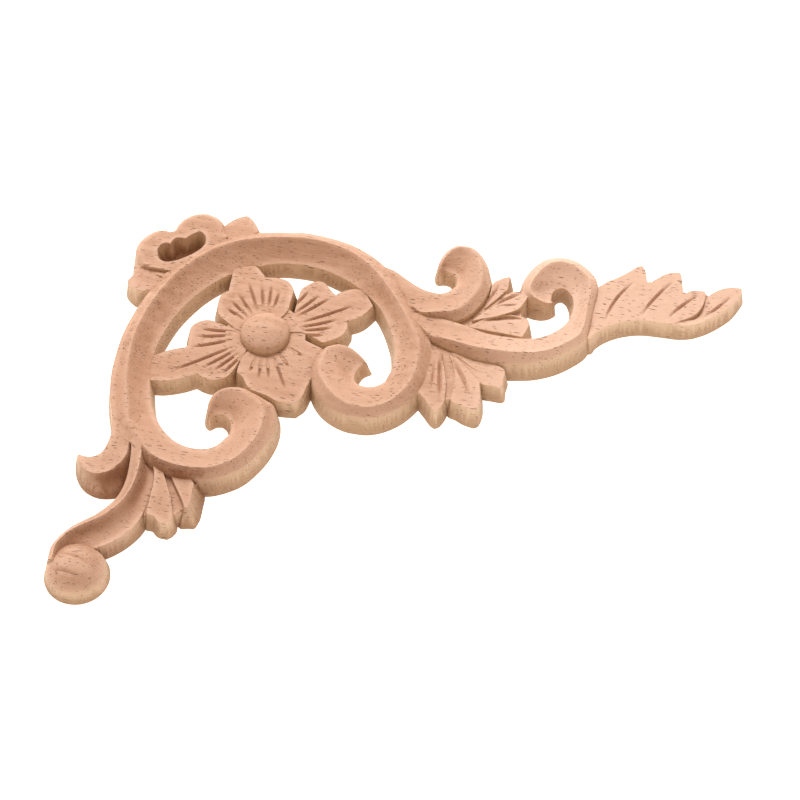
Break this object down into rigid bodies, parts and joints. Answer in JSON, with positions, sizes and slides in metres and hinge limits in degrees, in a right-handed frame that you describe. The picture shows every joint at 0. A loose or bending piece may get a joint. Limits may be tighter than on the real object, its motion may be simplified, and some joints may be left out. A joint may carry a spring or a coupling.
{
  "type": "carved wood corner applique",
  "caption": "Flat-backed pierced corner applique of carved bare wood: a ring round a flower, volutes, leafy scrolls and a feathered arm, glued or pinned to furniture and panels.",
  "frame": {"origin": "on the flat back, under the middle of the flower's boss", "axes": "+X along the long feathered arm, +Y up the plan away from the short arm with the ball, +Z out of the flat back towards the carved face"},
  "size_m": [0.2012, 0.1605, 0.0118],
  "materials": {
    "rubberwood": "bare, machine carved, unsanded"
  },
  "bodies": {
    "root": {"carved_applique": "rubberwood"}
  },
  "joints": []
}
